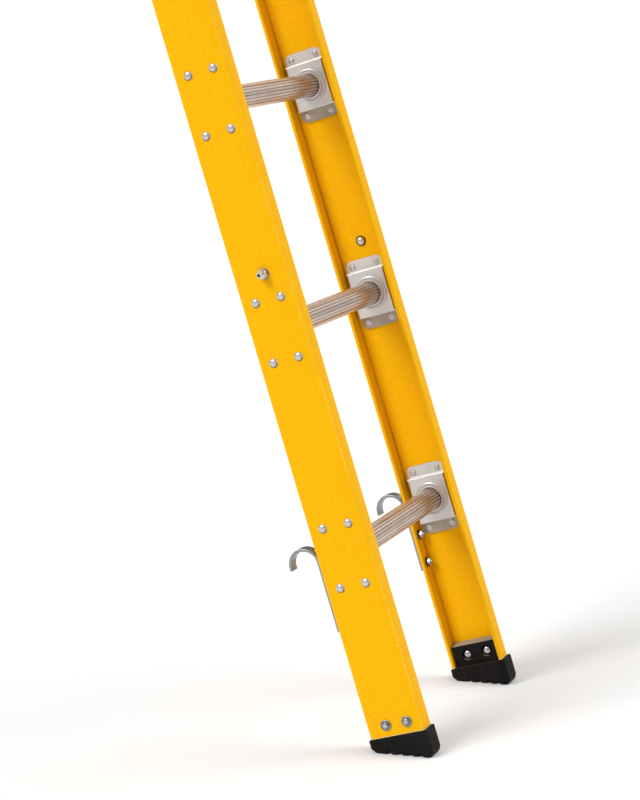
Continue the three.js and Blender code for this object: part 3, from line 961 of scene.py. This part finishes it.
def make_stop_bolt(section, side):
    place_at = section.left_hand(side)
    base = f"{section.name}_stop_bolt_{side}"
    nodes = [base] if section is LOWER else []
    axis = along_x(STOP_BOLT_Y, STOP_BOLT_Z)
    tip = STOP_BOLT_TIP
    head = RAIL_WALL + GAP + 1.2
    bolt = Solid().turned(
        [(0, tip + 3), (2.2, tip + 3), (2.2, tip + 0.2), (2.6, tip), (3.4, tip)]
        + thread_profile(3.9, tip + 0.8, -7.5)
        + [(4, head), (5.6, head), (5.7, head + 0.8), (5.2, head + 2.0), (3.8, head + 2.9),
           (1.9, head + 3.3), (1.2, head + 2.2), (0, head + 2.0)],
        axis, 36)
    # The socket is a black hexagon sunk in the bolt's end: painted shade for the depth of a hex
    # socket.
    socket = Solid().sweep([[axis(u, v, w) for u, v in circle(2.1, 6)]
                            for w in (tip + 1.2, tip + 2.9)])
    piece(f"{base}_socket", socket, section, place_at, BLACKENED_AND_SOCKET_SHADE)
    piece(f"{base}_screw", bolt, section, place_at, PASSIVATED, nodes)
    piece(f"{base}_washer", washer_solid(axis, -GAP, -1.8, radius=7.6, bore=4.2), section,
          place_at, DULL)
    piece(f"{base}_nut", nut_solid(axis, -1.8, -7.8, flats=12, bore=4.0), section, place_at,
          PASSIVATED)
    seat = washer_solid(axis, RAIL_WALL + 0.1, RAIL_WALL + 1.5, radius=7.2, bore=4.2)
    piece(f"{base}_seat", seat, section, place_at, BLACKENED_AND_SOCKET_SHADE)


def make_guide_bolts(section, side):
    place_at = section.left_hand(side)
    z = GUIDE_BOTTOM + GUIDE_HEIGHT / 2
    outer = -GAP - GUIDE_THICKNESS - GAP
    for end_name, y in zip(("front", "rear"), GUIDE_BOLT_Y):
        base = f"{section.name}_guide_bolt_{side}_{end_name}"
        axis = along_x(y, z)
        head = RAIL_WALL + GAP
        screw = Solid().turned(
            [(0, outer - 8), (2.6, outer - 8)] + thread_profile(3.1, outer - 7.6, outer - 1)
            + [(3.1, head), (6.1, head), (6.2, head + 0.5), (5.6, head + 1.6), (4.0, head + 2.6),
               (2.0, head + 3.0), (0, head + 3.1)],
            axis, 36)
        piece(f"{base}_screw", screw, section, place_at, STEEL, [base])
        washer = washer_solid(axis, outer, outer - 1.3, radius=7, bore=3.3)
        piece(f"{base}_washer", washer, section, place_at, STEEL)
        nut = nut_solid(axis, outer - 1.3, outer - 6.4, flats=10, bore=3.1)
        piece(f"{base}_nut", nut, section, place_at, STEEL)


def make_hook_screws(section, side):
    """Their heads are low, so that the fly's pass the lower section's rungs."""
    place_at = section.left_hand(side)
    for end_name, z in zip(("bottom", "top"), HOOK_SCREW_Z):
        base = f"{section.name}_hook_screw_{side}_{end_name}"
        nodes = [base] if section is LOWER else []
        axis = along_y(HOOK_X, z)
        head = STRAP_Y + HOOK_THICKNESS + GAP
        inside = RAIL_INNER - GAP
        screw = Solid().turned(
            [(0, inside - 8.4), (2.4, inside - 8.4), (2.9, inside - 7.9), (2.9, head), (5.3, head),
             (5.3, head + 0.3), (4.7, head + 0.8), (3.4, head + 1.1), (0, head + 1.2)],
            axis, 32)
        piece(f"{base}_screw", screw, section, place_at, STEEL, nodes)
        washer = washer_solid(axis, inside, inside - 1.4, radius=6.9, bore=3.1)
        piece(f"{base}_washer", washer, section, place_at, BLACKENED_AND_SOCKET_SHADE)
        nut = nut_solid(axis, inside - 1.4, inside - 6.4, flats=10, bore=2.9)
        piece(f"{base}_nut", nut, section, place_at, STEEL)


# ---------------------------------------------------------------- feet

def ground_line(y):
    """The ground's height in the section frame, where it slopes with the lean."""
    return SOLE_LEVEL + math.tan(LEAN) * y


def sole_outline():
    """The boot's side: flat lands on the ground, parted by grooves, between toe and heel."""
    rear_land = SOLE_REAR - SOLE_HEEL_RUN
    front_land = SOLE_FRONT + SOLE_TOE_RUN
    step = (rear_land - front_land) / SOLE_LANDS
    top = RAIL_BOTTOM - GAP
    points = [
        (SOLE_FRONT, top, 1.2),
        (SOLE_FRONT, ground_line(SOLE_FRONT) + SOLE_TOE_RISE, 4),
        (SOLE_FRONT + SOLE_TOE_NOSE, ground_line(SOLE_FRONT) + SOLE_TOE_NOSE, 2),
        (front_land, ground_line(front_land), 1),
    ]
    for i in range(SOLE_LANDS - 1):
        end = front_land + (i + 1) * step
        start = end - SOLE_GROOVE_WIDTH
        floor_start = start + SOLE_GROOVE_SLOPE
        floor_end = floor_start + SOLE_GROOVE_FLOOR
        points.append((start, ground_line(start), 0.8))
        points.append((floor_start, ground_line(floor_start) + SOLE_GROOVE, 0.8))
        points.append((floor_end, ground_line(floor_end) + SOLE_GROOVE, 0.8))
        points.append((end, ground_line(end), 0.8))
    points.append((rear_land, ground_line(rear_land), 1.5))
    points.append((SOLE_REAR, ground_line(SOLE_REAR) + SOLE_HEEL_RISE, 2))
    points.append((SOLE_REAR, top, 1.2))
    return filleted(points, 0.5, 3)


def make_foot(section, side):
    place_at = section.left_hand(side)
    name = f"{section.name}_foot_{side}"
    boot = Solid().prism(sole_outline(), along_x(), SOLE_OUTBOARD, SOLE_INBOARD)
    piece(f"{name}_boot", boot, section, place_at, BOOT_RUBBER, [name],
          bevel=0.9)
    piece(f"{name}_pad", pad_solid(), section, place_at, PAD_RUBBER, bevel=0.6)


def pad_solid():
    """Block inside the channel, its bolts' heads sunk in round recesses."""
    low = RAIL_BOTTOM - PAD_ROOT
    wall = RAIL_WALL + GAP
    back = rounded_box(-PAD_HALF, low, PAD_HALF, PAD_TOP, PAD_CORNER, 3)
    outline = rounded_box(-PAD_HALF, low, PAD_HALF, PAD_TOP - PAD_SLOPE, PAD_CORNER, 3)
    solid = Solid()
    count = len(outline)
    faces = [range(count - 1, -1, -1)]
    for i in range(count):
        j = (i + 1) % count
        faces.append((i, j, count + j, count + i))
    rims = [(wall, y, z) for y, z in back] + [(PAD_FACE, y, z) for y, z in outline]
    solid.add(rims, faces)
    solid.add(*recessed_face(outline))
    return solid


def recessed_face(outline):
    """The pad's inboard face with a sunk cup round each bolt head."""
    work = bmesh.new()
    edges = []
    ring = circle(PAD_RECESS, 36)
    loops = [outline]
    for y in FOOT_BOLT_Y:
        loops.append([(y + u, FOOT_BOLT_Z + v) for u, v in ring])
    for loop in loops:
        verts = [work.verts.new((PAD_FACE, y, z)) for y, z in loop]
        for i, vert in enumerate(verts):
            edges.append(work.edges.new((vert, verts[(i + 1) % len(verts)])))
    bmesh.ops.triangle_fill(work, use_beauty=True, use_dissolve=False, edges=edges)
    centres = [Vector((PAD_FACE, y, FOOT_BOLT_Z)) for y in FOOT_BOLT_Y]
    mouths = [face for face in work.faces
              if min((face.calc_center_median() - centre).length for centre in centres)
              < PAD_RECESS - 0.5]
    bmesh.ops.delete(work, geom=mouths, context="FACES_ONLY")
    work.verts.index_update()
    verts = [tuple(v.co) for v in work.verts]
    faces = [[v.index for v in face.verts] for face in work.faces]
    work.free()
    for y in FOOT_BOLT_Y:
        start = len(verts)
        for depth in (0, PAD_RECESS_DEPTH):
            verts.extend((PAD_FACE - depth, y + u, FOOT_BOLT_Z + v) for u, v in ring)
        count = len(ring)
        for i in range(count):
            j = (i + 1) % count
            faces.append([start + i, start + j, start + count + j, start + count + i])
        faces.append([start + count + i for i in range(count)])
    return verts, faces


# ---------------------------------------------------------------- hooks, guides and caps

def hook_outline():
    """Flat bar seen from its edge: a straight stem bent over into a hook that opens downwards."""
    outer = HOOK_INNER + HOOK_THICKNESS
    tip = HOOK_ARC_Z - HOOK_TIP
    points = [(STRAP_Y, HOOK_BOTTOM), (STRAP_Y + HOOK_THICKNESS, HOOK_BOTTOM)]
    points += arc(ARC_Y, HOOK_ARC_Z, HOOK_INNER, 180, 0, 28)
    points += [(ARC_Y + HOOK_INNER, tip), (ARC_Y + outer, tip)]
    points += arc(ARC_Y, HOOK_ARC_Z, outer, 0, 180, 28)
    return points


def make_hook(section, side):
    name = f"{section.name}_hook_{side}"
    start = HOOK_X - HOOK_WIDTH / 2
    solid = Solid().prism(hook_outline(), along_x(), start, start + HOOK_WIDTH)
    piece(f"{name}_bar", solid, section, section.left_hand(side), ZINC, [name],
          bevel=0.8, accents=[(SHEARED, on_sheared_edge)])


def on_sheared_edge(corners):
    across = [corner[0] for corner in corners]
    return max(across) == min(across)


def guide_outline():
    """The bent strap from above: round the lower rail's flange, then round the fly's."""
    t = GUIDE_THICKNESS
    out = -GAP - t
    front = -RAIL_HALF - GAP
    fly_front = FLY_FORWARD - RAIL_HALF - GUIDE_CLEARANCE
    leg = GUIDE_LEG
    return filleted([
        (out, GUIDE_REAR, 0),
        (out, front - t, 3.5),
        (leg - t, front - t, 0.8),
        (leg - t, fly_front - t, 3.5),
        (GUIDE_LIP, fly_front - t, 0),
        (GUIDE_LIP, fly_front, 0),
        (leg, fly_front, 0.8),
        (leg, front, 3.5),
        (-GAP, front, 0.5),
        (-GAP, GUIDE_REAR, 0),
    ], 0, 4)


def make_guide(side):
    name = f"lower_guide_{side}"
    solid = Solid().prism(guide_outline(), along_z(), GUIDE_BOTTOM, GUIDE_BOTTOM + GUIDE_HEIGHT)
    piece(f"{name}_strap", solid, LOWER, LOWER.left_hand(side), ZINC, [name],
          bevel=0.7)


def with_plug(solid):
    """Adds the part of a cap that plugs the channel."""
    low = RAIL_TOP - CAP_PLUG_DEPTH
    high = RAIL_TOP + CAP_PLUG_RISE
    outline = rounded_box(-PAD_HALF, low, PAD_HALF, high, 2, 3)
    return solid.prism(outline, along_x(), RAIL_WALL + GAP, CAP_PLUG_FACE)


def make_lower_cap(side):
    name = f"lower_cap_{side}"
    half = RAIL_HALF + CAP_PROUD
    base = RAIL_TOP + GAP
    lid = rounded_box(-half, base, half, base + CAP_HEIGHT, 3)
    solid = Solid().prism(lid, along_x(), -CAP_PROUD, RAIL_FLANGE)
    piece(f"{name}_lid", with_plug(solid), LOWER, LOWER.left_hand(side), PLASTIC,
          [name], bevel=1.0)


def make_fly_cap(side):
    """The fly's cap, with the flat face that lies against an upright wall."""
    name = f"fly_cap_{side}"
    base = RAIL_TOP + GAP
    top = base + WALL_PAD_HEIGHT
    front = -RAIL_HALF - CAP_PROUD
    rear = RAIL_HALF + WALL_PAD_PROUD
    face_low = base + WALL_PAD_LOWER_BEVEL
    face_high = top - WALL_PAD_UPPER_RISE
    face_top = rear - (face_high - face_low) * math.tan(LEAN)
    outline = filleted([
        (front, base, 1.5),
        (rear - WALL_PAD_LOWER_BEVEL, base, 1.5),
        (rear, face_low, 1.5),
        (face_top, face_high, 1),
        (face_top - WALL_PAD_UPPER_RUN, top, 3),
        (RAIL_HALF - WALL_PAD_CROWN, top, 10),
        (front, base + WALL_PAD_BROW, 6),
    ], 1, 5)
    solid = Solid().prism(outline, along_x(), -CAP_PROUD, RAIL_FLANGE + CAP_PROUD)
    piece(f"{name}_bumper", with_plug(solid), FLY, FLY.left_hand(side), PLASTIC,
          [name], bevel=1.2)


# ---------------------------------------------------------------- build the ladder

for part in (LOWER, FLY):
    make_rails(part)
    for number in range(1, RUNG_COUNT + 1):
        make_rung(part, number)
    for hand in SIDES:
        make_foot(part, hand)
        make_foot_bolts(part, hand)
        make_stop_bolt(part, hand)
        make_hook(part, hand)
        make_hook_screws(part, hand)

for hand in SIDES:
    make_guide(hand)
    make_guide_bolts(LOWER, hand)
    make_lower_cap(hand)
    make_fly_cap(hand)


# ---------------------------------------------------------------- stage, light and camera

def stage_floor():
    """A plain pale floor, far larger than any view of the ladder."""
    size = 60
    mesh = bpy.data.meshes.new("floor")
    mesh.from_pydata([(-size, -size, 0), (size, -size, 0), (size, size, 0), (-size, size, 0)], [],
                     [(0, 1, 2, 3)])
    floor = bpy.data.objects.new("floor", mesh)
    bpy.context.scene.collection.objects.link(floor)
    look = Look("floor_paper", 0.9, specular=0.1)
    tone = look.noise(2, detail=2)
    look.colour(look.mixed(look.ranged(tone, 0, 1), (0.88, 0.88, 0.88), (0.9, 0.9, 0.9)))
    mesh.materials.append(look.material)


def sun_light(name, azimuth, elevation, softness, strength):
    """A soft sun; azimuth 0 stands towards -y and 90 towards +x, in degrees."""
    data = bpy.data.lights.new(name, "SUN")
    data.energy = strength
    data.angle = math.radians(softness)
    light = bpy.data.objects.new(name, data)
    bpy.context.scene.collection.objects.link(light)
    a, e = math.radians(azimuth), math.radians(elevation)
    towards = Vector((math.sin(a) * math.cos(e), -math.cos(a) * math.cos(e), math.sin(e)))
    light.rotation_euler = towards.to_track_quat("Z", "Y").to_euler()


def studio_world():
    """White behind the ladder; the light that falls on it is softer, and comes mostly from above."""
    world = bpy.data.worlds.new("studio")
    world.use_nodes = True
    tree = world.node_tree
    surround = tree.nodes["Background"]
    backdrop = node(tree, "ShaderNodeBackground")
    backdrop.inputs["Color"].default_value = (1, 1, 1, 1)
    backdrop.inputs["Strength"].default_value = 1.05
    coordinates = node(tree, "ShaderNodeTexCoord")
    split = node(tree, "ShaderNodeSeparateXYZ")
    ramp = node(tree, "ShaderNodeValToRGB")
    ramp.color_ramp.elements[0].position = 0.0
    ramp.color_ramp.elements[0].color = (0.20, 0.18, 0.165, 1)
    ramp.color_ramp.elements[1].position = 0.9
    ramp.color_ramp.elements[1].color = (0.61, 0.61, 0.61, 1)
    path = node(tree, "ShaderNodeLightPath")
    mix = node(tree, "ShaderNodeMixShader")
    tree.links.new(coordinates.outputs["Generated"], split.inputs["Vector"])
    tree.links.new(split.outputs["Z"], ramp.inputs["Fac"])
    tree.links.new(ramp.outputs["Color"], surround.inputs["Color"])
    surround.inputs["Strength"].default_value = 1.0
    tree.links.new(path.outputs["Is Camera Ray"], mix.inputs["Fac"])
    tree.links.new(surround.outputs["Background"], mix.inputs[1])
    tree.links.new(backdrop.outputs["Background"], mix.inputs[2])
    tree.links.new(mix.outputs["Shader"], tree.nodes["World Output"].inputs["Surface"])
    bpy.context.scene.world = world


def camera():
    """Low three-quarter view of the foot of the ladder, from the climber's left."""
    data = bpy.data.cameras.new("camera")
    data.sensor_width = 36
    data.lens = 108.9
    data.shift_x = 0.1
    data.shift_y = -0.075
    data.clip_end = 300
    view = bpy.data.objects.new("camera", data)
    bpy.context.scene.collection.objects.link(view)
    view.location = (-2.9625, -1.4622, 1.0003)
    view.rotation_euler = [math.radians(angle) for angle in (81.308, 2.858, -66.313)]
    bpy.context.scene.camera = view


stage_floor()
studio_world()
sun_light("key", azimuth=-124, elevation=42, softness=26, strength=1.9)
sun_light("front", azimuth=22, elevation=38, softness=40, strength=1.35)
sun_light("rim", azimuth=78, elevation=24, softness=30, strength=0.18)
camera()
bpy.context.scene.view_settings.view_transform = "Standard"
